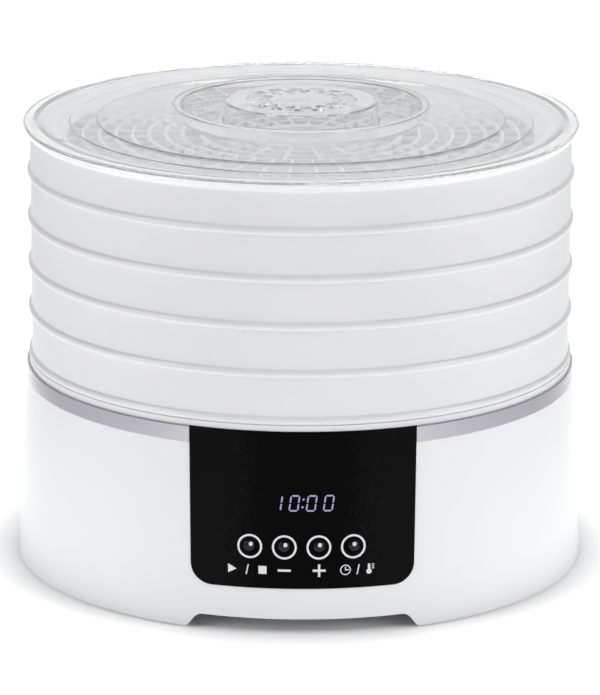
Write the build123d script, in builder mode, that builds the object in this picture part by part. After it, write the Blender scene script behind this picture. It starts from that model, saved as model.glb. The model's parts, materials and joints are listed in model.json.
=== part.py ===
from build123d import *
import os
from math import asin, cos, radians, sin, sqrt

# Round food dehydrator: a heated fan base, five stacking trays and a clear
# vented lid. Millimetres, +Z up, front towards -Y. The origin is the centre of
# the footprint, on the surface that the rubber feet stand on.

# ---------------------------------------------------------------- dimensions
# Heights of the stack, from the surface up
foot_gap = 1.0
wall_height = 107.2
band_height = 9.4
rim_height = 3.5
seat_gap = 0.1
tray_pitch = 27.4
tray_count = 5
lid_rise = 14.9

# Outer radii
base_foot_r = 168.4
base_top_r = 161.8
rim_r = 160.7
bead_r = 160.8
lid_r = 163.0

# Stacking joint, the same on the base and on every tray
lip_outer_r = 156.8
lip_inner_r = 155.2
lip_height = 2.2
dish_r = 141.8

# Shells
shell = 3.0
deck_thickness = 2.4
outlet_r = 62.0
grille_r = 78.0
fit_gap = 0.15
band_sheet = 0.5
band_proud = 0.25

# Control panel
panel_half_top = 64.1
panel_half_bottom = 63.2
panel_bottom_z = 27.1
panel_corner_r = 12.0
panel_proud = 0.8
panel_thickness = 2.0
button_z = 51.4
button_pitch = 19.5
button_row_x = -0.7
button_r = 3.4
button_travel = 0.8
button_dome = 0.8
dome_curve_r = 4.4
button_collar_r = 5.0
collar_height = 1.4
stem_gap = 0.6
display_z = 77.0
display_x = 0.0
board_y = -147.6
board_thickness = 1.6
switch_height = 3.5
plunger_height = 0.5

# Fan, motor and heater, on the vertical axis
shield_r = 66.0
sheet = 0.8
shaft_r = 2.0
stator_bottom_z = 30.0
stator_height = 18.0
fan_z = 73.0
fan_r = 57.0
blade_count = 7
heater_z = 98.0
coil_wire_r = 1.6
coil_step = 5.6
coil_first_r = 15.0
coil_half_turns = 8
terminal_y = 14.0
bracket_screw_ring_r = 72.0
bracket_screw_count = 3

# Bottom
cover_z = 11.0
cover_thickness = 2.5
post_ring_r = 146.0
post_r = 5.0
screw_r = 1.7
foot_r = 8.0
foot_spot = 84.0
gland_z = 22.0
cord_r = 3.6

# Derived heights
wall_top_z = foot_gap + wall_height
band_top_z = wall_top_z + band_height
seam_z = band_top_z - 0.6
band_inner_r = base_top_r + band_proud - band_sheet
band_seat_r = band_inner_r - 0.05
wall_inner_top_r = band_seat_r - shell
deck_plug_r = wall_inner_top_r - fit_gap
shoulder_z = band_top_z + rim_height
deck_top_z = shoulder_z - 6.5
deck_bottom_z = deck_top_z - deck_thickness
shield_top_z = deck_bottom_z - sheet
shield_bottom_z = 63.0
stator_top_z = stator_bottom_z + stator_height
bracket_top_z = shield_bottom_z - sheet
bracket_bottom_z = bracket_top_z - 2 * sheet
tray_edges = [shoulder_z + seat_gap + tray_pitch * i for i in range(tray_count)]
lid_seat_z = tray_edges[-1] + tray_pitch - seat_gap + lip_height + seat_gap


def housing_r(z):
    """Outer radius of the tapered housing at height z."""
    slope = (base_foot_r - base_top_r) / wall_height
    return base_top_r + slope * (wall_top_z - z)


def ring_section(points):
    """Closed face through (radius, height) points on the XZ plane."""
    with BuildSketch(Plane.XZ) as section:
        with BuildLine():
            Polyline(*points, close=True)
        make_face()
    return section.sketch


def disc(radius, z, height, bore=0.0):
    """Upright cylinder from z upward, with an optional bore."""
    with BuildPart() as piece:
        with BuildSketch(Plane.XY.offset(z)):
            Circle(radius)
            if bore:
                Circle(bore, mode=Mode.SUBTRACT)
        extrude(amount=height)
    return piece.part


def block(size, low_corner):
    """Box of a given size from its lowest corner."""
    with BuildPart(Location(low_corner)) as piece:
        Box(*size, align=(Align.MIN, Align.MIN, Align.MIN))
    return piece.part


def screw(tip_length, shank_r=screw_r, head_r=3.4, head_height=2.2):
    """Pan-head screw pointing up, with the head's seat at the origin."""
    with BuildPart() as piece:
        with BuildSketch(Plane.XY):
            Circle(shank_r)
        extrude(amount=tip_length)
        with BuildSketch(Plane.XY):
            Circle(head_r)
        extrude(amount=-head_height)
        chamfer(piece.edges().group_by(Axis.Z)[0], 0.5)
        with BuildSketch(Plane.XY.offset(-head_height)):
            Rectangle(1.6 * head_r, 0.7)
            Rectangle(0.7, 1.6 * head_r)
        extrude(amount=0.9, mode=Mode.SUBTRACT)
    return piece.part


def radial_slots(inner_r, outer_r, count, width):
    """Ring of radial slots as one sketch."""
    with BuildSketch() as slots:
        with PolarLocations((inner_r + outer_r) / 2, count):
            SlotOverall(outer_r - inner_r, width)
    return slots.sketch


def window(inner_r, outer_r, bar, sectors):
    """Four-sided opening between two rings and two radial bars, centred on +X."""
    half = 180 / sectors
    corners = []
    for radius in (inner_r, outer_r):
        turn = radians(half) - asin(bar / 2 / radius)
        corners.append((radius * cos(turn), radius * sin(turn)))
    (near_x, near_y), (far_x, far_y) = corners
    with BuildSketch() as opening:
        Polygon((near_x, -near_y), (far_x, -far_y), (far_x, far_y), (near_x, near_y), align=None)
    return opening.sketch


def wire(points, radius, bends):
    """Round tube along straight runs joined by tangent arcs."""
    with BuildPart() as piece:
        with BuildLine() as route:
            FilletPolyline(*points, radius=bends)
        with BuildSketch(Plane(route.line @ 0, z_dir=route.line % 0)):
            Circle(radius)
        sweep()
    return piece.part


# --------------------------------------------------------- housing and deck
def panel_slab(inner_offset, outer_offset, clearance):
    """Slab that follows the taper, trimmed to the panel's outline."""
    low_z = panel_bottom_z - 10
    high_z = band_top_z + 10
    with BuildPart() as slab:
        revolve(
            ring_section(
                [
                    (housing_r(low_z) + inner_offset, low_z),
                    (housing_r(low_z) + outer_offset, low_z),
                    (housing_r(high_z) + outer_offset, high_z),
                    (housing_r(high_z) + inner_offset, high_z),
                ]
            ),
            axis=Axis.Z,
        )
        with BuildSketch(Plane.XZ) as outline:
            with BuildLine():
                top = band_top_z + clearance
                bottom = panel_bottom_z - clearance
                wide = panel_half_top + clearance
                narrow = panel_half_bottom + clearance
                corners = [(-wide, top), (wide, top), (narrow, bottom), (-narrow, bottom)]
                Polyline(*corners, close=True)
            make_face()
            fillet(outline.vertices().group_by(Axis.Y)[0], panel_corner_r)
        extrude(amount=base_foot_r + 10, mode=Mode.INTERSECT)
    return slab.part


def foot_arch():
    """Outline of the low arch at the front and rear, with S-shaped ends."""
    top_z = foot_gap + 8.2
    half_top = 56.7
    half_foot = 69.5
    middle = (half_top + half_foot) / 2
    with BuildSketch(Plane.XZ) as arch:
        with BuildLine():
            Bezier((half_foot, 0), (middle, 0), (middle, top_z), (half_top, top_z))
            Line((half_top, top_z), (-half_top, top_z))
            Bezier((-half_top, top_z), (-middle, top_z), (-middle, 0), (-half_foot, 0))
            Line((-half_foot, 0), (half_foot, 0))
        make_face()
    return arch.sketch


post_angles = [45, 135, 225, 315]
board_post_x = 46.0
board_post_zs = (44.0, 90.0)
spot_y = 166.2
dish_wall_r = 154.6
coaming_r = 80.0
coaming_top_z = deck_top_z + 2.4
shield_screw_r = 73.0
sensor_spot = (0, -92.0)
sensor_r = 2.5

with BuildPart() as base_housing:
    with BuildSketch(Plane.XZ) as wall_section:
        with BuildLine():
            Polyline(
                (base_foot_r, foot_gap),
                (base_top_r, wall_top_z),
                (band_seat_r, wall_top_z),
                (band_seat_r, seam_z),
                (wall_inner_top_r, seam_z),
                (wall_inner_top_r, wall_top_z - 2),
                (base_foot_r - shell, foot_gap),
                close=True,
            )
        make_face()
    revolve(axis=Axis.Z)
    # Board posts grow inward from the front wall
    with BuildSketch(Plane.XZ.offset(-board_y)):
        with Locations(*[(x, z) for x in (-board_post_x, board_post_x) for z in board_post_zs]):
            Circle(3.5)
    extrude(until=Until.NEXT)
    add(panel_slab(-panel_thickness + panel_proud - 0.1, 20, fit_gap), mode=Mode.SUBTRACT)
    # Window behind the panel for the display and the buttons
    with BuildSketch(Plane.XZ.offset(base_foot_r - 40)):
        with Locations((0, (button_z + display_z) / 2 + 2)):
            RectangleRounded(80, 52, 4)
    extrude(amount=60, mode=Mode.SUBTRACT)
    add(extrude(foot_arch(), amount=base_foot_r + 5, both=True, mode=Mode.PRIVATE), mode=Mode.SUBTRACT)
    # Pilot holes for the board screws
    with BuildSketch(Plane.XZ.offset(-board_y)):
        with Locations(*[(x, z) for x in (-board_post_x, board_post_x) for z in board_post_zs]):
            Circle(1.2)
    extrude(amount=7, mode=Mode.SUBTRACT)
    # Spot face and hole for the cord gland
    with BuildSketch(Plane.XZ.offset(-spot_y)):
        with Locations((0, gland_z)):
            Circle(10.5)
    extrude(amount=-10, mode=Mode.SUBTRACT)
    with BuildSketch(Plane.XZ.offset(-spot_y)):
        with Locations((0, gland_z)):
            Circle(6.6)
    extrude(amount=10, mode=Mode.SUBTRACT)

# The deck drops into the housing; its rim is undercut above the trim band
with BuildPart() as base_deck:
    with BuildSketch(Plane.XZ) as deck_section:
        with BuildLine():
            Polyline(
                (rim_r - 0.9, seam_z),
                (rim_r, seam_z + 0.9),
                (rim_r - 0.2, shoulder_z),
                (lip_outer_r, shoulder_z),
                (lip_outer_r - 0.2, shoulder_z + lip_height),
                (lip_inner_r, shoulder_z + lip_height),
                (dish_wall_r, deck_top_z),
                (coaming_r, deck_top_z),
                (coaming_r - 0.6, coaming_top_z),
                (outlet_r, coaming_top_z),
                (outlet_r, deck_bottom_z),
                (deck_plug_r, deck_bottom_z),
                (deck_plug_r, seam_z),
                close=True,
            )
        make_face()
    revolve(axis=Axis.Z)
    # Long screw posts hang from the deck
    with BuildSketch(Plane.XY.offset(cover_z + cover_thickness)):
        with PolarLocations(post_ring_r, len(post_angles), start_angle=post_angles[0]):
            Circle(post_r)
    extrude(until=Until.NEXT)
    with BuildSketch(Plane.XY.offset(cover_z + cover_thickness)):
        with PolarLocations(post_ring_r, len(post_angles), start_angle=post_angles[0]):
            Circle(screw_r)
    extrude(amount=18, mode=Mode.SUBTRACT)
    # Holes for the shield screws and the temperature sensor
    with BuildSketch(Plane.XY.offset(deck_bottom_z)):
        with PolarLocations(shield_screw_r, 4):
            Circle(screw_r)
        with Locations(sensor_spot):
            Circle(sensor_r + 0.1)
    extrude(amount=4, mode=Mode.SUBTRACT)
    add(panel_slab(-panel_thickness + panel_proud - 0.1, 20, fit_gap), mode=Mode.SUBTRACT)

with BuildPart() as trim_band:
    band_outer_r = base_top_r + band_proud
    revolve(
        ring_section(
            [
                (band_inner_r, wall_top_z + 0.1),
                (band_outer_r - 0.15, wall_top_z + 0.1),
                (band_outer_r, wall_top_z + 0.25),
                (band_outer_r, band_top_z - 0.25),
                (band_outer_r - 0.15, band_top_z - 0.1),
                (band_inner_r, band_top_z - 0.1),
            ]
        ),
        axis=Axis.Z,
    )
    with BuildSketch(Plane.XZ):
        with Locations((0, band_top_z)):
            Rectangle(2 * (panel_half_top + fit_gap), 3 * band_height)
    extrude(amount=base_foot_r + 5, mode=Mode.SUBTRACT)

button_xs = [button_row_x + (i - 1.5) * button_pitch for i in range(4)]

with BuildPart() as control_panel:
    add(panel_slab(panel_proud - panel_thickness, panel_proud, 0))
    fillet(control_panel.faces().sort_by(Axis.Y)[0].edges(), 0.5)
    with BuildSketch(Plane.XZ):
        with Locations(*[(x, button_z) for x in button_xs]):
            Circle(button_r + 0.3)
    extrude(amount=base_foot_r + 5, mode=Mode.SUBTRACT)

with BuildPart() as outlet_grille:
    revolve(
        ring_section(
            [
                (0, coaming_top_z + 2.6),
                (grille_r - 1.2, coaming_top_z + 2.6),
                (grille_r, coaming_top_z + 1.4),
                (grille_r, coaming_top_z),
                (outlet_r - 0.3, coaming_top_z),
                (outlet_r - 0.6, coaming_top_z - 4),
                (outlet_r - 2.2, coaming_top_z - 4),
                (outlet_r - 2.2, coaming_top_z + 0.2),
                (0, coaming_top_z + 0.2),
            ]
        ),
        axis=Axis.Z,
    )
    with BuildSketch(Plane.XY.offset(coaming_top_z)):
        add(radial_slots(36, 57, 36, 3.4))
        add(radial_slots(14, 32, 20, 3.0))
    extrude(amount=4, mode=Mode.SUBTRACT)

with BuildPart() as temperature_sensor:
    add(disc(sensor_r, deck_bottom_z - 5, deck_thickness + 8))
    add(disc(4.0, deck_bottom_z - 5, 5))
    fillet(temperature_sensor.edges().group_by(Axis.Z)[-1], 1.5)
temperature_sensor.part = temperature_sensor.part.moved(Location((*sensor_spot, 0)))

# ----------------------------------------------------- buttons and electronics
guide_front_y = -155.9
guide_back_y = -154.3
stem_end_y = board_y - switch_height - plunger_height - button_travel - stem_gap


def button(x):
    """Cap with a domed head, a retaining collar and a stem to its switch."""
    face_y = -sqrt((housing_r(button_z) + panel_proud) ** 2 - x**2)
    collar_y = -161.0 if abs(x) < button_pitch else -158.5
    with BuildPart() as cap:
        with BuildSketch(Plane.YZ):
            with BuildLine():
                Line((face_y - button_dome, 0), (collar_y, 0))
                Line((collar_y, 0), (collar_y, button_r))
                Line((collar_y, button_r), (face_y + 0.4, button_r))
                RadiusArc((face_y + 0.4, button_r), (face_y - button_dome, 0.6), -dome_curve_r)
                Line((face_y - button_dome, 0.6), (face_y - button_dome, 0))
            make_face()
        revolve(axis=Axis.Y)
        with BuildSketch(Plane.XZ.offset(-collar_y)):
            Circle(button_collar_r)
        extrude(amount=-collar_height)
        with BuildSketch(Plane.XZ.offset(-collar_y - collar_height)):
            Circle(2.0)
        extrude(amount=-(stem_end_y - collar_y - collar_height))
    return cap.part.moved(Location((x, 0, button_z)))


button_names = ["button_start_stop", "button_minus", "button_plus", "button_time_temp"]
buttons = {name: button(x) for name, x in zip(button_names, button_xs)}

with BuildPart() as button_guide:
    with BuildSketch(Plane.XZ.offset(-guide_back_y)):
        with Locations((button_row_x, button_z)):
            RectangleRounded(76, 13, 2)
        with Locations(*[(x, button_z) for x in button_xs]):
            Circle(2.35, mode=Mode.SUBTRACT)
    extrude(amount=guide_back_y - guide_front_y)
    with BuildSketch(Plane.XZ.offset(-guide_back_y)):
        with Locations(*[(button_row_x + side * button_pitch, button_z) for side in (-1, 0, 1)]):
            Rectangle(3.5, 11)
    extrude(amount=-(board_y - guide_back_y))

with BuildPart() as control_board:
    with BuildSketch(Plane.XZ.offset(-board_y)):
        with Locations((0, 67)):
            RectangleRounded(104, 60, 2)
        with Locations(*[(x, z) for x in (-board_post_x, board_post_x) for z in board_post_zs]):
            Circle(1.3, mode=Mode.SUBTRACT)
    extrude(amount=-board_thickness)

with BuildPart() as tact_switches:
    with BuildSketch(Plane.XZ.offset(-board_y)):
        with Locations(*[(x, button_z) for x in button_xs]):
            Rectangle(6, 6)
    extrude(amount=switch_height)
    with BuildSketch(Plane.XZ.offset(-board_y + switch_height)):
        with Locations(*[(x, button_z) for x in button_xs]):
            Circle(1.7)
    extrude(amount=plunger_height)

with BuildPart() as display_module:
    with BuildSketch(Plane.XZ.offset(-board_y)):
        with Locations((display_x, display_z)):
            Rectangle(50, 19)
    extrude(amount=12)
    chamfer(display_module.faces().sort_by(Axis.Y)[0].edges(), 0.6)

small_screw = screw(6, 1.2, 2.4, 1.6)
with BuildPart() as control_board_screws:
    screw_y = board_y + board_thickness
    for x in (-board_post_x, board_post_x):
        for z in board_post_zs:
            add(small_screw.rotate(Axis.X, 90).moved(Location((x, screw_y, z))))

# ---------------------------------------------------------- air duct and heater
with BuildPart() as heat_shield:
    revolve(
        ring_section(
            [
                (shield_r, bracket_top_z),
                (shield_r + 10, bracket_top_z),
                (shield_r + 10, shield_bottom_z),
                (shield_r + sheet, shield_bottom_z),
                (shield_r + sheet, shield_top_z),
                (shield_r + 12, shield_top_z),
                (shield_r + 12, deck_bottom_z),
                (shield_r, deck_bottom_z),
            ]
        ),
        axis=Axis.Z,
    )
    with BuildSketch(Plane.XY.offset(shield_top_z)):
        with PolarLocations(shield_screw_r, 4):
            Circle(screw_r)
    extrude(amount=sheet, mode=Mode.SUBTRACT)
    with BuildSketch(Plane.XY.offset(bracket_top_z)):
        with PolarLocations(bracket_screw_ring_r, bracket_screw_count, start_angle=30):
            Circle(1.5)
    extrude(amount=sheet, mode=Mode.SUBTRACT)
    # Holes for the two heater terminals
    with BuildSketch(Plane.YZ):
        with Locations((-terminal_y, heater_z), (terminal_y, heater_z)):
            Circle(3.5)
    extrude(amount=shield_r + 5, mode=Mode.SUBTRACT)

with BuildPart() as shield_screws:
    with PolarLocations(shield_screw_r, 4):
        add(screw(4.6, screw_r, 3.0, 1.8).moved(Location((0, 0, shield_top_z))))

def half_turn_centre(turn):
    """Centre of a half turn of the spiral; odd half turns sit one step to +X."""
    return coil_step * (turn % 2)


coil_end_x = coil_step + coil_first_r + (coil_half_turns - 1) * coil_step

with BuildPart() as heater_coil:
    with BuildLine() as spiral:
        Line((coil_first_r, -8, heater_z), (coil_first_r, 0, heater_z))
        for turn in range(coil_half_turns):
            centre = (half_turn_centre(turn), 0, heater_z)
            CenterArc(centre, coil_first_r + turn * coil_step, 180 * (turn % 2), 180)
        Line((coil_end_x, 0, heater_z), (coil_end_x, terminal_y, heater_z))
    with BuildSketch(Plane((coil_first_r, -8, heater_z), z_dir=(0, 1, 0))):
        Circle(coil_wire_r)
    sweep(path=spiral.wires()[0])


def coil_crossings(axis):
    """Where the spiral passes through a card along x or along y."""
    spots = []
    for turn in range(coil_half_turns):
        radius = coil_first_r + turn * coil_step
        side = 1 - 2 * (turn % 2)
        if axis == "x":
            spots.append(half_turn_centre(turn) + side * radius)
        else:
            spots.append(side * sqrt(radius**2 - half_turn_centre(turn) ** 2))
    if axis == "x":
        spots.append(coil_end_x)
    return spots


def heater_card(axis, slot_from_top):
    """Mica card with a hole wherever the coil passes through it."""
    length = 2 * shield_r - 0.6
    height = 20.0
    with BuildPart() as card:
        with BuildSketch(Plane.XZ if axis == "x" else Plane.YZ):
            with Locations((0, heater_z)):
                Rectangle(length, height)
            with Locations(*[(spot, heater_z) for spot in coil_crossings(axis)]):
                Circle(coil_wire_r + 0.8, mode=Mode.SUBTRACT)
            with Locations((0, heater_z + (height / 4 if slot_from_top else -height / 4))):
                Rectangle(1.2, height / 2 + 0.2, mode=Mode.SUBTRACT)
        extrude(amount=0.4, both=True)
    return card.part


with BuildPart() as heater_cards:
    add(heater_card("x", True))
    add(heater_card("y", False))

with BuildPart() as heater_terminals:
    with BuildSketch(Plane.YZ.offset(coil_end_x + coil_wire_r)):
        with Locations((-terminal_y, heater_z), (terminal_y, heater_z)):
            Circle(3.4)
    extrude(amount=shield_r + 6 - coil_end_x - coil_wire_r)
    with BuildSketch(Plane.YZ.offset(shield_r + 6)):
        with Locations((-terminal_y, heater_z), (terminal_y, heater_z)):
            Circle(1.8)
    extrude(amount=6)

with BuildPart() as thermal_fuse:
    add(disc(2.0, heater_z - 6, 12).moved(Location((2.6, 7.5, 0))))

with BuildPart() as thermostat:
    add(disc(8.0, deck_bottom_z - 8, 8).moved(Location((-92, 0, 0))))
    add(disc(10.0, deck_bottom_z - 1.2, 1.2).moved(Location((-92, 0, 0))))

# ------------------------------------------------------------- motor and fan
screw_spots = [(0, -22), (0, 22)]

with BuildPart() as motor_bracket:
    with BuildSketch(Plane.XY.offset(bracket_bottom_z)):
        Circle(shield_r + 10)
        Circle(shield_r + 1, mode=Mode.SUBTRACT)
        Rectangle(24, 2 * shield_r + 4)
        Rectangle(2 * shield_r + 4, 16)
        Circle(28)
        Circle(9, mode=Mode.SUBTRACT)
        with Locations(*screw_spots):
            Circle(screw_r, mode=Mode.SUBTRACT)
        with PolarLocations(bracket_screw_ring_r, bracket_screw_count, start_angle=30):
            Circle(1.5, mode=Mode.SUBTRACT)
    extrude(amount=2 * sheet)

with BuildPart() as bracket_screws:
    with PolarLocations(bracket_screw_ring_r, bracket_screw_count, start_angle=30):
        add(screw(6, 1.5, 2.8, 1.8).moved(Location((0, 0, bracket_bottom_z))))

with BuildPart() as motor_stator:
    with BuildSketch(Plane.XY.offset(stator_bottom_z)):
        with Locations((8, 0)):
            Rectangle(68, 54)
        Circle(13.5, mode=Mode.SUBTRACT)
        with Locations((24, 0)):
            Rectangle(12, 34, mode=Mode.SUBTRACT)
        with Locations(*screw_spots):
            Circle(screw_r, mode=Mode.SUBTRACT)
    extrude(amount=stator_height)
    chamfer(motor_stator.edges().filter_by(Axis.Z).group_by(Axis.X)[0], 3)

with BuildPart() as motor_coil:
    with BuildSketch(Plane.XZ.offset(-16)):
        with Locations((36, stator_bottom_z + stator_height / 2)):
            RectangleRounded(30, 34, 4)
            Rectangle(12.2, stator_height + 0.2, mode=Mode.SUBTRACT)
    extrude(amount=32)


def bearing_bridge(z, direction):
    """Stamped strap across the stator with a bearing boss; direction is +1 up."""
    with BuildPart() as bridge:
        low = z if direction > 0 else z - 3
        with BuildSketch(Plane.XY.offset(low)):
            Rectangle(15, 54)
            with Locations(*screw_spots):
                Circle(screw_r, mode=Mode.SUBTRACT)
        extrude(amount=3)
        with BuildSketch(Plane.XY.offset(z)):
            Circle(8)
        extrude(amount=direction * 8)
        with BuildSketch(Plane.XY.offset(z)):
            Circle(5)
        extrude(amount=direction * 8, mode=Mode.SUBTRACT)
    return bridge.part


bridge_upper = bearing_bridge(stator_top_z, 1)
bridge_lower = bearing_bridge(stator_bottom_z, -1)

with BuildPart() as motor_bearings:
    add(disc(5.0, stator_top_z + 2.5, 5, shaft_r + 0.05))
    add(disc(5.0, stator_bottom_z - 7.5, 5, shaft_r + 0.05))

with BuildPart() as motor_rotor:
    add(disc(13.0, stator_bottom_z + 1, stator_height - 2, shaft_r))
    with BuildSketch(Plane.XY.offset(stator_bottom_z + 1)):
        with PolarLocations(10.8, 14):
            Circle(1.0)
    extrude(amount=stator_height - 2, mode=Mode.SUBTRACT)

with BuildPart() as motor_shaft:
    add(disc(shaft_r, stator_bottom_z - 10, 84.5 - stator_bottom_z + 10))
    chamfer(motor_shaft.edges().group_by(Axis.Z)[-1], 0.4)

with BuildPart() as motor_screws:
    screw_length = bracket_top_z - stator_bottom_z + 3 + 2
    with Locations(*screw_spots):
        add(screw(screw_length, screw_r, 3.0, 2.0).moved(Location((0, 0, stator_bottom_z - 3))))

with BuildPart() as motor_spacers:
    spacer_bottom_z = stator_top_z + 3
    with BuildSketch(Plane.XY.offset(spacer_bottom_z)):
        with Locations(*screw_spots):
            Circle(4)
            Circle(screw_r, mode=Mode.SUBTRACT)
    extrude(amount=bracket_bottom_z - spacer_bottom_z)


def blade_section(radius, chord, thickness, pitch):
    """Aerofoil-like slat on a plane square to the radius."""
    with BuildSketch(Plane((radius, 0, fan_z), x_dir=(0, 1, 0), z_dir=(1, 0, 0))) as section:
        SlotOverall(chord, thickness, rotation=pitch)
    return section.sketch


with BuildPart() as blade:
    loft([blade_section(11, 15, 2.0, 46), blade_section(fan_r, 30, 1.6, 24)])

with BuildPart() as fan_impeller:
    add(disc(13, fan_z - 7, 13, shaft_r))
    fillet(fan_impeller.edges().group_by(Axis.Z)[-1].sort_by(SortBy.LENGTH)[-1], 2)
    with PolarLocations(0, blade_count):
        add(blade.part)
    with BuildSketch(Plane.XY.offset(fan_z - 7)):
        Circle(shaft_r)
    extrude(amount=13, mode=Mode.SUBTRACT)

with BuildPart() as fan_nut:
    with BuildSketch(Plane.XY.offset(fan_z + 6)):
        RegularPolygon(4, 6)
        Circle(shaft_r, mode=Mode.SUBTRACT)
    extrude(amount=3)

# ---------------------------------------------------------- bottom and supply
board_low_z = 22.0
board_centre_y = 111.0
board_corners = [(x, board_centre_y + y) for x in (-40, 40) for y in (-23, 23)]

with BuildPart() as bottom_cover:
    with BuildSketch(Plane.XY.offset(cover_z)):
        Circle(housing_r(cover_z) - shell - 0.6)
        with PolarLocations(post_ring_r, len(post_angles), start_angle=post_angles[0]):
            Circle(screw_r + 0.1, mode=Mode.SUBTRACT)
        add(radial_slots(36, 60, 36, 3.4), mode=Mode.SUBTRACT)
        add(radial_slots(12, 32, 18, 3.0), mode=Mode.SUBTRACT)
    extrude(amount=cover_thickness)
    with BuildSketch(Plane.XY.offset(2)):
        with GridLocations(2 * foot_spot, 2 * foot_spot, 2, 2):
            Circle(foot_r + 2.5)
    extrude(amount=cover_z - 2)
    with BuildSketch(Plane.XY.offset(2)):
        with GridLocations(2 * foot_spot, 2 * foot_spot, 2, 2):
            Circle(foot_r + 0.1)
    extrude(amount=3, mode=Mode.SUBTRACT)
    with BuildSketch(Plane.XY.offset(cover_z + cover_thickness)):
        with Locations(*board_corners):
            Circle(3.5)
    extrude(amount=board_low_z - cover_z - cover_thickness)
    with BuildSketch(Plane.XY.offset(cover_z + cover_thickness)):
        with Locations(*board_corners):
            Circle(1.2)
    extrude(amount=board_low_z - cover_z - cover_thickness, mode=Mode.SUBTRACT)

with BuildPart() as cover_screws:
    with PolarLocations(post_ring_r, len(post_angles), start_angle=post_angles[0]):
        add(screw(16).moved(Location((0, 0, cover_z))))

with BuildPart() as rubber_feet:
    with BuildSketch(Plane.XY):
        with GridLocations(2 * foot_spot, 2 * foot_spot, 2, 2):
            Circle(foot_r)
    extrude(amount=5)
    chamfer(rubber_feet.edges().group_by(Axis.Z)[0], 0.8)

with BuildPart() as power_board:
    with BuildSketch(Plane.XY.offset(board_low_z)):
        with Locations((0, board_centre_y)):
            RectangleRounded(90, 54, 2)
        with Locations(*board_corners):
            Circle(1.3, mode=Mode.SUBTRACT)
    extrude(amount=board_thickness)

with BuildPart() as power_board_screws:
    flipped = small_screw.rotate(Axis.X, 180)
    with Locations(*board_corners):
        add(flipped.moved(Location((0, 0, board_low_z + board_thickness))))

board_top_z = board_low_z + board_thickness

with BuildPart() as mains_transformer:
    add(block((30, 24, 26), (-36, 90, board_top_z)))
    chamfer(mains_transformer.edges().filter_by(Axis.Z), 1.5)

with BuildPart() as relay:
    add(block((15, 19, 15.5), (-3, 89, board_top_z)))
    chamfer(relay.faces().sort_by(Axis.Z)[-1].edges(), 0.6)

with BuildPart() as filter_capacitor:
    add(block((8.5, 18, 15), (15, 89, board_top_z)))
    fillet(filter_capacitor.edges().filter_by(Axis.Z), 1)

with BuildPart() as terminal_block:
    add(block((30, 11, 13), (-15, 122, board_top_z)))
    with BuildSketch(Plane.XZ.offset(-133)):
        with Locations(*[(x, board_top_z + 4.5) for x in (-10, 0, 10)]):
            Circle(2.2)
    extrude(amount=6, mode=Mode.SUBTRACT)

with BuildPart() as cord_gland:
    with BuildSketch(Plane.YZ) as gland_section:
        with BuildLine():
            Polyline(
                (152.0, gland_z + cord_r),
                (152.0, gland_z + 5.5),
                (159.0, gland_z + 5.8),
                (159.0, gland_z + 8.2),
                (162.6, gland_z + 8.2),
                (162.6, gland_z + 6.5),
                (spot_y, gland_z + 6.5),
                (spot_y, gland_z + 9.6),
                (spot_y + 1.2, gland_z + 9.4),
                (spot_y + 1.8, gland_z + 6.0),
                (spot_y + 1.8, gland_z + cord_r),
                close=True,
            )
        make_face()
    revolve(axis=Axis((0, 0, gland_z), (0, 1, 0)))

# ------------------------------------------------------------------- wiring
lead_r = 1.1

with BuildPart() as heater_leads:
    for side in (-1, 1):
        lead = [
            (shield_r + 12.2, side * terminal_y, heater_z),
            (shield_r + 22, side * terminal_y, heater_z),
            (shield_r + 22, side * terminal_y, 44),
            (58, 66 + side * 5, 35),
            (30, 108 + side * 5, 35),
            (30, 108 + side * 5, board_top_z),
        ]
        add(wire(lead, lead_r, 5))
    # Return from the spiral's inner end to the second terminal
    lead = [
        (coil_first_r, -6.5, heater_z + coil_wire_r),
        (coil_first_r, -6.5, heater_z + 7),
        (shield_r - 4, -terminal_y, heater_z + 7),
        (shield_r - 4, -terminal_y, heater_z + 3.4),
    ]
    add(wire(lead, lead_r, 1.5))

with BuildPart() as motor_leads:
    for side in (-1, 1):
        lead = [
            (36 + side * 6, 16, 24),
            (36 + side * 6, 30, 24),
            (38 + side * 3, 70, 30),
            (38 + side * 3, 108, 30),
            (38 + side * 3, 108, board_top_z),
        ]
        add(wire(lead, lead_r, 4))

with BuildPart() as panel_cable:
    lead = [
        (-36, board_y + board_thickness, 60),
        (-36, board_y + board_thickness + 9, 60),
        (-56, board_y + 20, 19),
        (-56, 70, 19),
        (-41, 99, 33),
        (-41, 111, 33),
        (-41, 111, board_top_z),
    ]
    add(wire(lead, 2.0, 5))

# -------------------------------------------------------------------- trays
grid_height = 2.4
grid_top = 21.0
hole_r = 20.0
bar = 1.6
inner_sectors = 20
outer_sectors = 40
inner_ring_rs = [26.0 + 11.0 * i for i in range(5)]
outer_ring_rs = [70.0 + 9.7 * i for i in range(8)]

with BuildSketch() as floor_grid:
    Circle(dish_r - 1)
    Circle(hole_r, mode=Mode.SUBTRACT)
    for low_r, high_r in zip(inner_ring_rs, inner_ring_rs[1:]):
        cell = window(low_r + bar / 2, high_r - bar / 2, bar, inner_sectors)
        with PolarLocations(0, inner_sectors):
            add(cell, mode=Mode.SUBTRACT)
    for low_r, high_r in zip(outer_ring_rs, outer_ring_rs[1:]):
        cell = window(low_r + bar / 2, high_r - bar / 2, bar, outer_sectors)
        with PolarLocations(0, outer_sectors):
            add(cell, mode=Mode.SUBTRACT)


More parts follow.
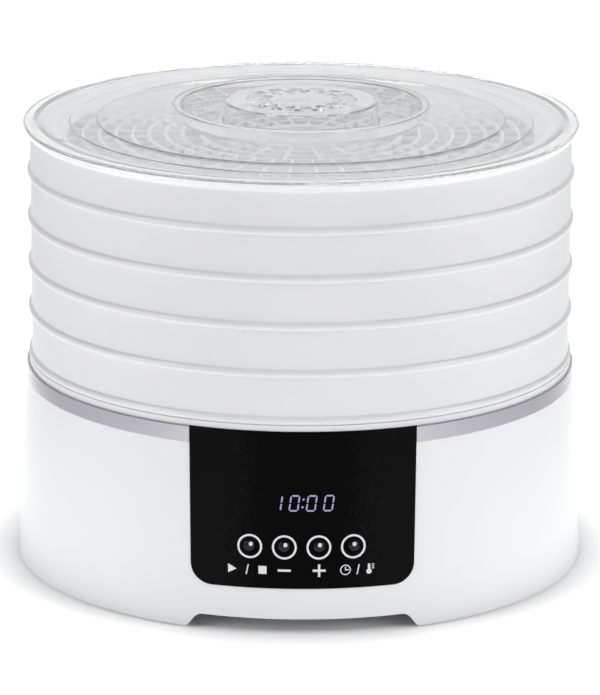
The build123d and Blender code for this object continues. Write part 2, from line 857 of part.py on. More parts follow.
def tray_wall(edge_z):
    """Bead, wall, lip and dish of a tray whose lower edge is at edge_z."""
    shoulder = edge_z + tray_pitch - seat_gap
    with BuildSketch(Plane.XZ) as wall:
        with BuildLine():
            Polyline((157.5, edge_z), (159.8, edge_z), (160.4, edge_z + 0.6))
            ThreePointArc(
                (160.4, edge_z + 0.6), (bead_r, edge_z + 2.2), (159.2, edge_z + 4.8)
            )
            Polyline(
                (159.2, edge_z + 4.8),
                (158.8, shoulder - 0.3),
                (158.5, shoulder),
                (lip_outer_r, shoulder),
                (lip_outer_r - 0.2, shoulder + lip_height),
                (lip_inner_r, shoulder + lip_height),
                (lip_inner_r - 0.3, shoulder),
            )
            ThreePointArc(
                (lip_inner_r - 0.3, shoulder), (150.9, shoulder - 0.9), (146.6, shoulder - 0.4)
            )
            Polyline(
                (146.6, shoulder - 0.4),
                (146.1, shoulder + 0.2),
                (143.9, shoulder + 0.2),
                (143.4, shoulder - 0.3),
                (dish_r, edge_z + grid_top),
                (dish_r - 2, edge_z + grid_top),
                (dish_r - 2, edge_z + grid_top - grid_height),
                (dish_r + 1.8, edge_z + grid_top - grid_height),
                (145.2, edge_z + 24.6),
                (157.0, edge_z + 25.2),
                (157.5, edge_z),
            )
        make_face()
    return wall.sketch


with BuildPart() as first_tray:
    revolve(tray_wall(tray_edges[0]), axis=Axis.Z)
    with BuildSketch(Plane.XY.offset(tray_edges[0] + grid_top - grid_height)):
        add(floor_grid.sketch)
    extrude(amount=grid_height)
    # Collar round the centre hole and ten deeper ribs under the grid
    with BuildSketch(Plane.XY.offset(tray_edges[0] + grid_top - grid_height - 2)):
        Circle(hole_r + 2)
        with PolarLocations((hole_r + dish_r) / 2, 10, start_angle=9):
            Rectangle(dish_r - hole_r, 2.0)
        Circle(hole_r, mode=Mode.SUBTRACT)
    extrude(amount=2.2)

trays = {
    f"tray_{i + 1}": first_tray.part.moved(Location((0, 0, edge - tray_edges[0])))
    for i, edge in enumerate(tray_edges)
}

# ----------------------------------------------------------------------- lid
lid_sheet = 1.6
rim_top_z = lid_seat_z + lid_sheet
cap_top_z = tray_edges[-1] + tray_pitch + lid_rise
ledge_z = cap_top_z - 2.1
recess_z = rim_top_z - 0.9
skirt_z = tray_edges[-1] + tray_pitch - 2.2
cap_r = 45.0

with BuildPart() as lid:
    with BuildSketch(Plane.XZ):
        with BuildLine():
            # Upper surface, from the skirt's edge to the axis
            Polyline((160.4, skirt_z), (162.9, rim_top_z - 1.4))
            ThreePointArc(
                (162.9, rim_top_z - 1.4), (lid_r - 0.2, rim_top_z - 0.4), (162.0, rim_top_z)
            )
            Line((162.0, rim_top_z), (157.2, rim_top_z))
            ThreePointArc((157.2, rim_top_z), (151.5, rim_top_z - 1.3), (145.6, rim_top_z - 1.6))
            Polyline(
                (145.6, rim_top_z - 1.6),
                (136.4, rim_top_z - 1.2),
                (135.8, rim_top_z - 0.7),
                (120.4, rim_top_z - 0.2),
                (119.4, rim_top_z + 0.8),
            )
            ThreePointArc(
                (119.4, rim_top_z + 0.8), (98, rim_top_z + 4.7), (76.0, ledge_z - 0.7)
            )
            Polyline(
                (76.0, ledge_z - 0.7),
                (74.9, ledge_z),
                (70.6, ledge_z),
                (69.6, ledge_z - 0.6),
                (68.4, recess_z + 0.6),
                (67.4, recess_z),
                (46.6, recess_z),
                (45.4, recess_z + 1.0),
                (cap_r, cap_top_z - 0.9),
                (cap_r - 0.9, cap_top_z),
                (0, cap_top_z),
                (0, cap_top_z - lid_sheet),
                # Lower surface, back out to the skirt
                (cap_r - 2.0, cap_top_z - lid_sheet),
                (cap_r - 1.8, recess_z - 1.0),
                (cap_r - 1.0, recess_z - lid_sheet),
                (69.0, recess_z - lid_sheet),
                (70.0, recess_z - 0.8),
                (71.2, ledge_z - lid_sheet),
                (74.4, ledge_z - lid_sheet),
                (75.4, ledge_z - 2.2),
            )
            ThreePointArc((75.4, ledge_z - 2.2), (97.5, rim_top_z + 3.1), (118.6, rim_top_z - 0.9))
            Polyline(
                (118.6, rim_top_z - 0.9),
                (119.4, rim_top_z - 1.8),
                (135.2, rim_top_z - 2.3),
                (135.8, rim_top_z - 2.8),
                (146.0, rim_top_z - 3.1),
            )
            ThreePointArc(
                (146.0, rim_top_z - 3.1), (150.6, rim_top_z - 2.8), (154.6, lid_seat_z)
            )
            Polyline((154.6, lid_seat_z), (161.3, lid_seat_z), (159.2, skirt_z), (160.4, skirt_z))
        make_face()
    revolve(axis=Axis.Z)
    # Two rings of vent slots in the cap
    with BuildSketch(Plane.XY.offset(cap_top_z)):
        with PolarLocations(0, 15):
            add(window(26.4, 33.1, 4.6, 15))
        with PolarLocations(0, 15, start_angle=12):
            add(window(18.8, 25.2, 3.4, 15))
    extrude(amount=-2 * lid_sheet, mode=Mode.SUBTRACT)

# -------------------------------------------------------------------- export
pieces = {
    "base_housing": base_housing.part,
    "base_deck": base_deck.part,
    "trim_band": trim_band.part,
    "control_panel": control_panel.part,
    "outlet_grille": outlet_grille.part,
    "temperature_sensor": temperature_sensor.part,
    "button_guide": button_guide.part,
    "control_board": control_board.part,
    "tact_switches": tact_switches.part,
    "display_module": display_module.part,
    "control_board_screws": control_board_screws.part,
    "heat_shield": heat_shield.part,
    "shield_screws": shield_screws.part,
    "heater_coil": heater_coil.part,
    "heater_cards": heater_cards.part,
    "heater_terminals": heater_terminals.part,
    "thermal_fuse": thermal_fuse.part,
    "thermostat": thermostat.part,
    "motor_bracket": motor_bracket.part,
    "bracket_screws": bracket_screws.part,
    "motor_stator": motor_stator.part,
    "motor_coil": motor_coil.part,
    "bearing_bridge_upper": bridge_upper,
    "bearing_bridge_lower": bridge_lower,
    "motor_bearings": motor_bearings.part,
    "motor_rotor": motor_rotor.part,
    "motor_shaft": motor_shaft.part,
    "motor_screws": motor_screws.part,
    "motor_spacers": motor_spacers.part,
    "fan_impeller": fan_impeller.part,
    "fan_nut": fan_nut.part,
    "bottom_cover": bottom_cover.part,
    "cover_screws": cover_screws.part,
    "rubber_feet": rubber_feet.part,
    "power_board": power_board.part,
    "power_board_screws": power_board_screws.part,
    "mains_transformer": mains_transformer.part,
    "relay": relay.part,
    "filter_capacitor": filter_capacitor.part,
    "terminal_block": terminal_block.part,
    "cord_gland": cord_gland.part,
    "heater_leads": heater_leads.part,
    "motor_leads": motor_leads.part,
    "panel_cable": panel_cable.part,
    "lid": lid.part,
}
pieces.update(buttons)
pieces.update(trays)

os.makedirs("parts", exist_ok=True)
for name, piece in pieces.items():
    piece.label = name
    export_step(piece, f"parts/{name}.step")
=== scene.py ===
import json
import math

import bmesh
import bpy
from mathutils import Matrix, Vector


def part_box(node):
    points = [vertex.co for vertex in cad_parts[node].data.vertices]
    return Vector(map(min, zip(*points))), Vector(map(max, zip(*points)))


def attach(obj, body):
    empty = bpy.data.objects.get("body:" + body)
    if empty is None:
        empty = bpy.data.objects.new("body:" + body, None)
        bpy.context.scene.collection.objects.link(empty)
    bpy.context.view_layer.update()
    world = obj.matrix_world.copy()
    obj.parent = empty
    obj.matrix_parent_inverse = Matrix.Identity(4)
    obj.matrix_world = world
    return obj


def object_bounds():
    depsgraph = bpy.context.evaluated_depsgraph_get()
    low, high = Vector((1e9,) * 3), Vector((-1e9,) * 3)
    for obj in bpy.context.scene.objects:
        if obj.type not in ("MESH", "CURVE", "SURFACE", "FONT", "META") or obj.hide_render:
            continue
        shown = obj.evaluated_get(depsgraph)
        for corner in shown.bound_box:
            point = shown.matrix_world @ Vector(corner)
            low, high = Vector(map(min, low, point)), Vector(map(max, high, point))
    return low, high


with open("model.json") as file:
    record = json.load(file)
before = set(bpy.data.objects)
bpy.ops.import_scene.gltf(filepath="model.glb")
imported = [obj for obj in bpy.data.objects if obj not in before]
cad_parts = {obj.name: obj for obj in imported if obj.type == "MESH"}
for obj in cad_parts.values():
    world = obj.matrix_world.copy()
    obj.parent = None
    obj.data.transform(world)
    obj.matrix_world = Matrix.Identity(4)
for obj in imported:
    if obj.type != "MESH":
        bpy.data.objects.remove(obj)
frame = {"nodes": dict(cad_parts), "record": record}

# Looks for the food dehydrator: materials, printed panel, lights, floor and camera.
# Lengths are metres. The front of the object faces -Y.

cad_low, cad_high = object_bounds()
record = frame["record"]
MM = 0.001


# ------------------------------------------------------------------- materials
class Look:
    """A Principled material with short helpers for the nodes that feed it."""

    def __init__(self, name, **sockets):
        self.material = bpy.data.materials.new(name)
        self.material.use_nodes = True
        self.nodes = self.material.node_tree.nodes
        self.links = self.material.node_tree.links
        self.shader = self.nodes["Principled BSDF"]
        self.place = self.nodes.new("ShaderNodeTexCoord").outputs["Object"]
        for socket, value in sockets.items():
            self.shader.inputs[socket.replace("_", " ")].default_value = value

    def node(self, kind, inputs=(), **settings):
        made = self.nodes.new("ShaderNode" + kind)
        for key, value in settings.items():
            setattr(made, key, value)
        for key, value in dict(inputs).items():
            if isinstance(value, bpy.types.NodeSocket):
                self.links.new(value, made.inputs[key])
            else:
                made.inputs[key].default_value = value
        return made

    def feed(self, socket, value):
        self.links.new(value, self.shader.inputs[socket])

    def stretched(self, scale):
        """Object coordinates scaled by a factor along each axis."""
        return self.node("Mapping", {"Vector": self.place, "Scale": scale}).outputs["Vector"]

    def around(self, turns, up):
        """Coordinates with the angle round the vertical axis as x and the height as z."""
        split = self.node("SeparateXYZ", {0: self.place})
        x, y, z = split.outputs
        angle = self.node("Math", {0: y, 1: x}, operation="ARCTAN2").outputs[0]
        turned = self.node("Math", {0: angle, 1: turns}, operation="MULTIPLY").outputs[0]
        raised = self.node("Math", {0: z, 1: up}, operation="MULTIPLY").outputs[0]
        return self.node("CombineXYZ", {0: turned, 2: raised}).outputs[0]

    def noise(self, scale, detail=2.0, where=None, roughness=0.5):
        inputs = {"Vector": where or self.place, "Scale": scale, "Detail": detail}
        inputs["Roughness"] = roughness
        return self.node("TexNoise", inputs).outputs["Fac"]

    def ramp(self, value, low, high, start=0.0, end=1.0):
        """A number between low and high as value goes from start to end."""
        inputs = {"Value": value, "From Min": start, "From Max": end, "To Min": low, "To Max": high}
        return self.node("MapRange", inputs).outputs["Result"]

    def tint(self, value, low, high, start=0.3, end=0.7):
        """A colour between low and high as value goes from start to end."""
        inputs = {"Factor": self.ramp(value, 0.0, 1.0, start, end)}
        mixer = self.node("Mix", inputs, data_type="RGBA")
        mixer.inputs[6].default_value = (*low, 1.0)
        mixer.inputs[7].default_value = (*high, 1.0)
        return mixer.outputs[2]

    def bump(self, height, distance, strength=1.0, normal=None):
        inputs = {"Height": height, "Distance": distance, "Strength": strength}
        if normal:
            inputs["Normal"] = normal
        return self.node("Bump", inputs).outputs["Normal"]


def shade(colour, factor):
    return tuple(min(1.0, channel * factor) for channel in colour)


def moulded(name, colour, roughness, grain=0.000006, variation=0.015, **sockets):
    """Injection-moulded plastic: faint mottling, uneven gloss and a fine spark texture."""
    look = Look(name, Roughness=roughness, **sockets)
    look.feed("Base Color", look.tint(look.noise(9, 3), shade(colour, 1 - variation), colour))
    look.feed("Roughness", look.ramp(look.noise(25, 2), roughness - 0.02, roughness + 0.03, 0.3, 0.7))
    ripple = look.bump(look.noise(16, 1), 0.00003, 0.4)
    look.feed("Normal", look.bump(look.noise(2600, 2), grain, 0.7, ripple))
    return look.material


def brushed(name, colour, roughness=0.26):
    """Steel strip brushed along its length, round the vertical axis."""
    look = Look(name, Metallic=1.0, Roughness=roughness, Anisotropic=0.55)
    strokes = look.noise(1.0, 6, look.around(30.0, 16000.0), 0.7)
    broad = look.noise(1.0, 3, look.around(2.0, 900.0))
    look.feed("Base Color", look.tint(strokes, shade(colour, 0.82), colour))
    look.feed("Roughness", look.ramp(broad, roughness - 0.06, roughness + 0.12, 0.3, 0.7))
    look.feed("Normal", look.bump(strokes, 0.00003, 0.5))
    look.feed("Tangent", look.node("Tangent", direction_type="RADIAL", axis="Z").outputs[0])
    return look.material


def sheet_metal(name, colour, roughness=0.35):
    """Zinc-plated or bright steel: crystalline blotches and fine scratches."""
    look = Look(name, Metallic=1.0, Roughness=roughness)
    cells = look.node("TexVoronoi", {"Vector": look.place, "Scale": 160.0}).outputs["Distance"]
    look.feed("Base Color", look.tint(cells, shade(colour, 0.86), colour, 0.0, 0.8))
    look.feed("Roughness", look.ramp(look.noise(220, 4), roughness - 0.08, roughness + 0.1, 0.3, 0.7))
    scratches = look.noise(1.0, 3, look.stretched((900.0, 60.0, 200.0)))
    look.feed("Normal", look.bump(scratches, 0.00002, 0.4))
    return look.material


def layered(name, colour, pitch, metallic=0.0, roughness=0.45):
    """Stacked laminations or wound wire: fine level lines up the side."""
    look = Look(name, Metallic=metallic, Roughness=roughness)
    waves = look.node("TexWave", {"Vector": look.place, "Scale": 1 / pitch / 20, "Distortion": 0.4},
                      bands_direction="Z").outputs["Fac"]
    look.feed("Base Color", look.tint(waves, shade(colour, 0.6), colour, 0.2, 0.8))
    look.feed("Roughness", look.ramp(look.noise(300, 2), roughness - 0.08, roughness + 0.1, 0.3, 0.7))
    look.feed("Normal", look.bump(waves, 0.0001, 0.6))
    return look.material


def speckled(name, low, high, scale, roughness, distance=0.00005):
    """Grainy matt stuff such as mica board, ceramic, rubber or sheathing."""
    look = Look(name, Roughness=roughness)
    grains = look.noise(scale, 5, roughness=0.7)
    look.feed("Base Color", look.tint(grains, low, high))
    look.feed("Roughness", look.ramp(look.noise(scale / 4), roughness - 0.08, roughness + 0.08, 0.3, 0.7))
    look.feed("Normal", look.bump(grains, distance, 0.6))
    return look.material


def circuit_board(name):
    """Green solder mask with copper tracks showing through as lighter lines."""
    look = Look(name, Roughness=0.35, Coat_Weight=0.4, Coat_Roughness=0.2)
    inputs = {"Vector": look.place, "Scale": 420.0, "Randomness": 0.35}
    tracks = look.node("TexVoronoi", inputs, feature="DISTANCE_TO_EDGE", distance="EUCLIDEAN")
    track, mask = (0.05, 0.36, 0.14), (0.01, 0.16, 0.06)
    look.feed("Base Color", look.tint(tracks.outputs["Distance"], track, mask, 0.03, 0.09))
    look.feed("Roughness", look.ramp(look.noise(200), 0.28, 0.45, 0.3, 0.7))
    look.feed("Normal", look.bump(tracks.outputs["Distance"], 0.00004, 0.5))
    return look.material


def clear_plastic(name):
    """Clear moulded lid: slight haze and flow ripple."""
    look = Look(name, Roughness=0.05, IOR=1.3, Transmission_Weight=0.86)
    look.feed("Base Color", look.tint(look.noise(14, 3), (0.97, 0.98, 0.98), (0.99, 0.995, 0.995)))
    look.feed("Roughness", look.ramp(look.noise(120, 4), 0.03, 0.08, 0.3, 0.7))
    look.feed("Normal", look.bump(look.noise(30, 2), 0.00002, 0.5))
    # Lamps shine through the lid on to the trays
    is_shadow = look.node("LightPath").outputs["Is Shadow Ray"]
    through = look.node("BsdfTransparent", {"Color": (0.93, 0.935, 0.94, 1.0)}).outputs[0]
    mixed = look.node("MixShader", {0: is_shadow, 1: look.shader.outputs[0], 2: through})
    look.links.new(mixed.outputs[0], look.nodes["Material Output"].inputs["Surface"])
    return look.material


def panel_gloss(name):
    """Black glass-like fascia: deep gloss with a trace of dust and polishing haze."""
    look = Look(name, Roughness=0.07, IOR=1.45, Specular_IOR_Level=0.03)
    sideways = look.node("SeparateXYZ", {0: look.place}).outputs[0]
    aside = look.node("Math", {0: sideways}, operation="ABSOLUTE").outputs[0]
    dusty = look.node("Math", {0: look.noise(700, 4), 1: aside}, operation="MULTIPLY_ADD")
    dusty.inputs[2].default_value = 0.0
    middle, side = (0.0012, 0.0012, 0.0014), (0.0052, 0.0052, 0.0058)
    look.feed("Base Color", look.tint(dusty.outputs[0], middle, side, 0.012, 0.02))
    look.feed("Roughness", look.ramp(look.noise(60, 5), 0.05, 0.11, 0.3, 0.7))
    look.feed("Normal", look.bump(look.noise(24, 2), 0.00003, 0.5))
    return look.material


def glowing(name, colour, strength):
    """Lit display segments with slightly uneven brightness."""
    look = Look(name, Roughness=0.4, Base_Color=(0.02, 0.02, 0.03, 1.0), Emission_Strength=strength)
    look.feed("Emission Color", look.tint(look.noise(900, 2), shade(colour, 0.86), colour))
    return look.material


def printed(name, colour):
    """Screen-printed ink with slightly uneven cover."""
    look = Look(name, Roughness=0.5)
    look.feed("Base Color", look.tint(look.noise(2400, 3), shade(colour, 0.9), colour))
    look.feed("Normal", look.bump(look.noise(3000, 2), 0.00001, 0.4))
    return look.material


WHITE = (0.86, 0.865, 0.885)
MILKY = (0.82, 0.825, 0.85)
finishes = {
    "white_plastic": moulded("white_plastic", WHITE, 0.3, Coat_Weight=0.15, Coat_Roughness=0.12),
    "tray_plastic": moulded("tray_plastic", MILKY, 0.32, Subsurface_Weight=0.05, Subsurface_Scale=0.002),
    "clear_plastic": clear_plastic("clear_plastic"),
    "brushed_band": brushed("brushed_band", (0.54, 0.53, 0.58), 0.15),
    "black_gloss": panel_gloss("black_gloss"),
    "button_black": moulded("button_black", (0.008, 0.008, 0.014), 0.12, Specular_IOR_Level=0.2),
    "black_plastic": moulded("black_plastic", (0.02, 0.02, 0.022), 0.42, grain=0.00003, variation=0.2),
    "grey_plastic": moulded("grey_plastic", (0.78, 0.785, 0.8), 0.38),
    "board": circuit_board("board"),
    "rubber": speckled("rubber", (0.02, 0.02, 0.02), (0.045, 0.045, 0.045), 900, 0.75),
    "zinc_steel": sheet_metal("zinc_steel", (0.62, 0.63, 0.65)),
    "bright_steel": sheet_metal("bright_steel", (0.72, 0.72, 0.73), 0.22),
    "lamination": layered("lamination", (0.3, 0.3, 0.33), 0.001, 0.8),
    "copper": layered("copper", (0.72, 0.33, 0.12), 0.0008, 0.9, 0.3),
    "bronze": sheet_metal("bronze", (0.55, 0.4, 0.2), 0.5),
    "nichrome": layered("nichrome", (0.4, 0.37, 0.34), 0.0006, 0.9, 0.4),
    "mica": speckled("mica", (0.52, 0.42, 0.24), (0.8, 0.7, 0.5), 500, 0.5),
    "ceramic": speckled("ceramic", (0.76, 0.73, 0.66), (0.86, 0.83, 0.77), 700, 0.55),
    "film_yellow": moulded("film_yellow", (0.72, 0.5, 0.06), 0.3),
    "terminal_green": moulded("terminal_green", (0.05, 0.32, 0.1), 0.4),
    "wire_red": speckled("wire_red", (0.42, 0.015, 0.015), (0.55, 0.03, 0.03), 400, 0.45),
    "wire_white": speckled("wire_white", (0.7, 0.7, 0.7), (0.8, 0.8, 0.8), 400, 0.45),
    "wire_grey": speckled("wire_grey", (0.2, 0.21, 0.22), (0.3, 0.31, 0.33), 400, 0.45),
}
for part in record["subparts"]:
    node = frame["nodes"][part["node"]]
    node.data.materials.clear()
    node.data.materials.append(finishes[part["material_slot"]])


# ------------------------------------------------------ printed and lit panel
PANEL_PROUD = 0.8 * MM
BAND_PROUD = 0.25 * MM
BAND_GAP = 0.1 * MM
INK_BACK = 0.02 * MM
MAX_SPLITS = 6
housing_low, housing_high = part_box("base_housing")
band_low, band_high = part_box("trim_band")
wall_foot_r = housing_high.x
wall_top_r = band_high.x - BAND_PROUD
wall_foot_z = housing_low.z
wall_top_z = band_low.z - BAND_GAP


def panel_point(x, z, lift):
    """Point on the fascia at a sideways place and height, lifted off by a hair."""
    along = (z - wall_foot_z) / (wall_top_z - wall_foot_z)
    radius = wall_foot_r + (wall_top_r - wall_foot_r) * along + PANEL_PROUD + lift
    return Vector((x, -math.sqrt(radius**2 - x**2), z))


def as_object(mesh, name, material):
    """Object made from a bmesh, which is freed, with its normals turned outward."""
    bmesh.ops.recalc_face_normals(mesh, faces=mesh.faces[:])
    data = bpy.data.meshes.new(name)
    mesh.to_mesh(data)
    mesh.free()
    data.materials.append(material)
    piece = bpy.data.objects.new(name, data)
    bpy.context.scene.collection.objects.link(piece)
    return piece


def on_panel(name, outlines, material, lift=0.08 * MM, step=1.2 * MM):
    """Thin ink or light shapes: closed outlines in panel coordinates, wrapped on the fascia."""
    mesh = bmesh.new()
    for outline in outlines:
        front = [mesh.verts.new((x, 0.0, z)) for x, z in outline]
        mesh.faces.new(front)
    bmesh.ops.triangulate(mesh, faces=mesh.faces[:])
    for _ in range(MAX_SPLITS):
        long_edges = [e for e in mesh.edges if e.calc_length() > step]
        if not long_edges:
            break
        bmesh.ops.subdivide_edges(mesh, edges=long_edges, cuts=1)
        bmesh.ops.triangulate(mesh, faces=mesh.faces[:])
    skin = bmesh.ops.extrude_face_region(mesh, geom=mesh.faces[:])
    raised = {v for v in skin["geom"] if isinstance(v, bmesh.types.BMVert)}
    for vertex in mesh.verts:
        height = lift if vertex in raised else INK_BACK
        vertex.co = panel_point(vertex.co.x, vertex.co.z, height)
    piece = as_object(mesh, name, material)
    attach(piece, "base")


def moved(outline, x, z):
    return [(px + x, pz + z) for px, pz in outline]


def circle(radius, count):
    turns = [math.tau * i / count for i in range(count)]
    return [(radius * math.cos(turn), radius * math.sin(turn)) for turn in turns]


def bar(width, height, x=0.0, z=0.0):
    w, h = width / 2, height / 2
    return [(x - w, z - h), (x + w, z - h), (x + w, z + h), (x - w, z + h)]


def ring_pieces(outer, inner, count=48):
    """An annulus as a run of four-sided pieces."""
    near, far = circle(inner, count), circle(outer, count)
    pieces = []
    for i in range(count):
        after = (i + 1) % count
        pieces.append([near[i], far[i], far[after], near[after]])
    return pieces


ink = printed("white_ink", (0.82, 0.82, 0.86))
glow = glowing("display_glow", (0.5, 0.44, 0.8), 0.8)
BUTTONS = ["button_start_stop", "button_minus", "button_plus", "button_time_temp"]


def centre_of(node):
    low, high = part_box(node)
    return (low + high) / 2


for number, button in enumerate(BUTTONS):
    spot = centre_of(button)
    ring = [moved(piece, spot.x, spot.z) for piece in ring_pieces(7.0 * MM, 5.85 * MM)]
    on_panel(f"button_ring_{number + 1}", ring, ink)

# The buttons' crown: a small flat, then an arc that falls back to the rim
DOME_FLAT = 0.6 * MM
DOME_DEPTH = 1.2 * MM
DOME_RADIUS = 3.4 * MM
DOME_CURVE = 4.4 * MM
# Sides and half thickness of the white spots painted on the button crowns as highlights
HIGHLIGHT_SIDES = 24
HIGHLIGHT_HALF_THICKNESS = 0.05 * MM


def dome_depth(reach):
    """How far a button's crown falls back at a distance from its middle."""
    run, fall = (DOME_RADIUS - DOME_FLAT) / 2, DOME_DEPTH / 2
    half_chord = math.hypot(run, fall)
    rise = math.sqrt(DOME_CURVE**2 - half_chord**2) / half_chord
    centre_reach = DOME_FLAT + run - fall * rise
    centre_depth = fall + run * rise
    if reach <= DOME_FLAT:
        return 0.0
    return centre_depth - math.sqrt(DOME_CURVE**2 - (reach - centre_reach) ** 2)


def painted_crown_highlight(name, button, radius, x, z):
    """Painted highlight: a small round white spot on the domed crown of one button, standing in for a lamp's
    reflection, that moves with the button.
    """
    low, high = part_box(button)
    middle = (low + high) / 2
    mesh = bmesh.new()
    layers = []
    for lift in (-HIGHLIGHT_HALF_THICKNESS, HIGHLIGHT_HALF_THICKNESS):
        rings = []
        for reach in (radius / 3, 2 * radius / 3, radius):
            spots = moved(circle(reach, HIGHLIGHT_SIDES), x, z)
            depths = [dome_depth(math.hypot(px, pz)) - lift for px, pz in spots]
            rings.append([
                mesh.verts.new((middle.x + px, low.y + depth, middle.z + pz))
                for (px, pz), depth in zip(spots, depths)
            ])
        mesh.faces.new(rings[0])
        layers.append(rings)
        for inner, outer in zip(rings, rings[1:]):
            for i in range(HIGHLIGHT_SIDES):
                mesh.faces.new((inner[i - 1], inner[i], outer[i], outer[i - 1]))
    back_rim, front_rim = layers[0][-1], layers[1][-1]
    for i in range(HIGHLIGHT_SIDES):
        mesh.faces.new((back_rim[i - 1], back_rim[i], front_rim[i], front_rim[i - 1]))
    piece = as_object(mesh, name, ink)
    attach(piece, button)


# Painted highlights: a white ink spot on each button's crown, a little up and to the right of its middle, stands
# in for a lamp's reflection
for number, button in enumerate(BUTTONS):
    painted_crown_highlight(f"button_painted_highlight_{number + 1}", button, 1.15 * MM, 0.6 * MM, 1.5 * MM)

# Labels: generic signs in place of words
label_z = centre_of(BUTTONS[0]).z - 13.5 * MM
minus_x = centre_of("button_minus").x
plus_x = centre_of("button_plus").x + 0.2 * MM
on_panel("sign_minus", [bar(7.4 * MM, 1.3 * MM, minus_x, label_z)], ink)
plus = [
    bar(7.4 * MM, 1.3 * MM, plus_x, label_z),
    bar(1.3 * MM, 3.0 * MM, plus_x, label_z + 2.15 * MM),
    bar(1.3 * MM, 3.0 * MM, plus_x, label_z - 2.15 * MM),
]
on_panel("sign_plus", plus, ink)

play_x = centre_of(BUTTONS[0]).x - 10.0 * MM
play = [(-2.2 * MM, -2.6 * MM), (2.6 * MM, 0.0), (-2.2 * MM, 2.6 * MM)]
stop = bar(4.6 * MM, 4.6 * MM)
slash = [(-0.95 * MM, -2.9 * MM), (-0.25 * MM, -2.9 * MM), (0.95 * MM, 2.9 * MM), (0.25 * MM, 2.9 * MM)]
start_stop = [moved(play, play_x, label_z), moved(slash, play_x + 8.6 * MM, label_z)]
on_panel("sign_start_stop", [*start_stop, moved(stop, play_x + 17.2 * MM, label_z)], ink)


def clock(x, z):
    """Round clock face with two hands."""
    pieces = [moved(piece, x, z) for piece in ring_pieces(3.0 * MM, 2.45 * MM, 32)]
    pieces.append(bar(0.55 * MM, 2.0 * MM, x, z + 0.75 * MM))
    pieces.append(bar(1.5 * MM, 0.55 * MM, x + 1.05 * MM, z))
    return pieces


def thermometer(x, z):
    """Bulb and stem with three marks beside it."""
    pieces = [moved(circle(1.5 * MM, 24), x, z - 1.5 * MM), bar(1.3 * MM, 3.4 * MM, x, z + 1.2 * MM)]
    pieces += [bar(1.3 * MM, 0.5 * MM, x + 2.2 * MM, z + rise * MM) for rise in (0.2, 1.4, 2.6)]
    return pieces


clock_x = centre_of(BUTTONS[3]).x - 4.4 * MM
signs = clock(clock_x, label_z) + [moved(slash, clock_x + 7.2 * MM, label_z)]
on_panel("sign_time_temp", signs + thermometer(clock_x + 13.4 * MM, label_z), ink)

# Lit digits
SEGMENTS = {"0": "abcdef", "1": "bc"}
digit_height = 9.5 * MM
digit_width = 5.6 * MM
stroke = 0.85 * MM
slant = 0.14


def segment(letter):
    """One six-sided segment of an upright digit, centred on its middle."""
    w, h, s = digit_width / 2 - stroke / 2, digit_height / 2 - stroke / 2, stroke / 2
    ends = {
        "a": ((-w, h), (w, h)),
        "b": ((w, h), (w, 0)),
        "c": ((w, 0), (w, -h)),
        "d": ((-w, -h), (w, -h)),
        "e": ((-w, 0), (-w, -h)),
        "f": ((-w, h), (-w, 0)),
    }[letter]
    start, end = Vector(ends[0]), Vector(ends[1])
    along = (end - start).normalized()
    across = Vector((-along.y, along.x)) * s
    gap = stroke * 0.3
    tip = stroke * 0.5
    start, end = start + along * gap, end - along * gap
    return [
        tuple(start),
        tuple(start + along * tip - across),
        tuple(end - along * tip - across),
        tuple(end),
        tuple(end - along * tip + across),
        tuple(start + along * tip + across),
    ]


def slanted(outline, x, z):
    return [(px + slant * pz + x, pz + z) for px, pz in outline]


display_centre = centre_of("display_module")
digit_places = [-14.55, -4.85, 4.85, 14.55]
shapes = []
for digit, place in zip("1000", digit_places):
    for letter in SEGMENTS[digit]:
        shapes.append(slanted(segment(letter), display_centre.x + place * MM, display_centre.z))
for dot_z in (-2.2, 2.2):
    dot = circle(0.6 * MM, 16)
    shapes.append(slanted(moved(dot, 0, dot_z * MM), display_centre.x, display_centre.z))
on_panel("display_digits", shapes, glow)


# ------------------------------------------------------------ floor and light
def plane(name, size, material):
    half = size / 2
    data = bpy.data.meshes.new(name)
    data.from_pydata([(-half, -half, 0), (half, -half, 0), (half, half, 0), (-half, half, 0)], [], [(0, 1, 2, 3)])
    data.materials.append(material)
    made = bpy.data.objects.new(name, data)
    bpy.context.scene.collection.objects.link(made)
    return made


FLOOR_GLOW = 0.8
SIDE_GLOW = 0.22
GLOW_START_R = 0.16
GLOW_FULL_R = 0.212
LANE_EDGE = 0.26
LANE_FADED = 0.5


def studio_floor():
    look = Look("studio_floor", Roughness=0.6, Specular_IOR_Level=0.0)
    look.feed("Base Color", look.tint(look.noise(3, 2), (0.94, 0.94, 0.945), (0.95, 0.95, 0.955)))
    # Far from the object the floor glows like a lit cove, so that it reads as plain white
    where = look.node("SeparateXYZ", {0: look.place}).outputs
    flat = look.node("CombineXYZ", {0: where[0], 1: where[1]}).outputs[0]
    reach = look.node("VectorMath", {0: flat}, operation="LENGTH").outputs["Value"]
    near = look.ramp(reach, 0.0, 1.0, GLOW_START_R, GLOW_FULL_R)
    sideways = look.node("Math", {0: where[0]}, operation="ABSOLUTE").outputs[0]
    lane = look.ramp(sideways, FLOOR_GLOW, SIDE_GLOW, LANE_EDGE, LANE_FADED)
    glow_strength = look.node("Math", {0: near, 1: lane}, operation="MULTIPLY").outputs[0]
    look.feed("Emission Strength", glow_strength)
    plane("floor", 12.0, look.material)


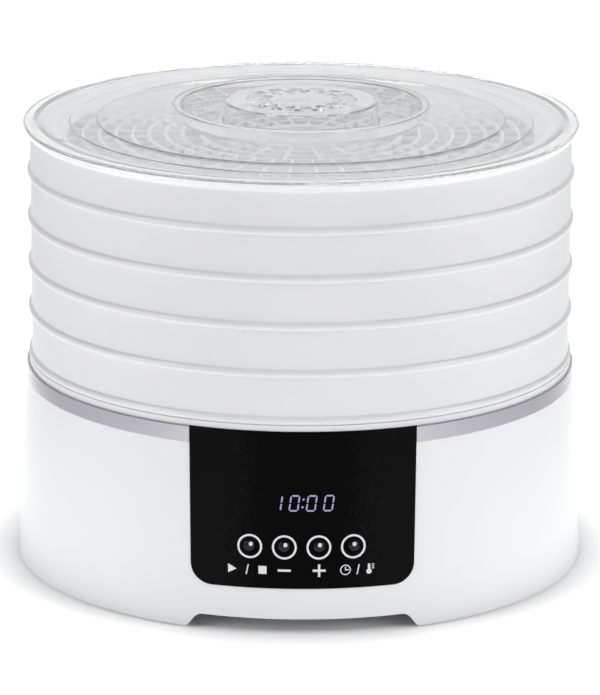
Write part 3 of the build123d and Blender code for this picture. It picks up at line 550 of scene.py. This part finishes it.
# Azimuth and elevation in degrees, then distance, width and height in metres, then watts
LAMPS = {
    "key_right": (64, 25, 2.2, 1.0, 1.4, 21.0),
    "key_left": (-64, 25, 2.2, 1.0, 1.4, 18.5),
    "overhead": (0, 85, 2.4, 2.6, 2.6, 9.0),
    "top": (0, 89.9, 2.2, 0.7, 0.7, 2.5),
    "backdrop": (180, 21, 2.4, 3.2, 1.9, 16.0),
}


def softbox(name, azimuth, elevation, distance, width, height, power):
    """Area light aimed at the middle of the object; azimuth 0 is the front, + to the right."""
    a, e = math.radians(azimuth), math.radians(elevation)
    target = (cad_low + cad_high) / 2
    away = Vector((math.sin(a) * math.cos(e), -math.cos(a) * math.cos(e), math.sin(e)))
    data = bpy.data.lights.new(name, "AREA")
    data.shape = "RECTANGLE"
    data.size, data.size_y = width, height
    data.energy = power
    lamp = bpy.data.objects.new(name, data)
    bpy.context.scene.collection.objects.link(lamp)
    lamp.location = target + away * distance
    lamp.rotation_euler = away.to_track_quat("Z", "Y").to_euler()


def studio():
    world = bpy.data.worlds.new("studio")
    bpy.context.scene.world = world
    world.use_nodes = True
    backdrop = world.node_tree.nodes["Background"]
    backdrop.inputs["Color"].default_value = (0.95, 0.97, 1.0, 1.0)
    backdrop.inputs["Strength"].default_value = 0.06
    for name, setting in LAMPS.items():
        softbox(name, *setting)


def camera():
    """Long lens, a little above the object, at the angle of the reference view."""
    data = bpy.data.cameras.new("camera")
    data.sensor_width = 36.0
    data.lens = 232.6
    data.clip_end = 50.0
    made = bpy.data.objects.new("camera", data)
    bpy.context.scene.collection.objects.link(made)
    turn = math.radians(-0.75)
    back, height = 2.5735, 0.8425
    pitch, roll = math.radians(15.64), math.radians(0.288)
    made.matrix_world = (
        Matrix.Rotation(turn, 4, "Z")
        @ Matrix.Translation((0, -back, height))
        @ Matrix.Rotation(math.pi / 2 - pitch, 4, "X")
        @ Matrix.Rotation(roll, 4, "Z")
    )
    bpy.context.scene.camera = made


studio_floor()
studio()
camera()
scene = bpy.context.scene
scene.view_settings.view_transform = "Standard"
scene.view_settings.look = "None"
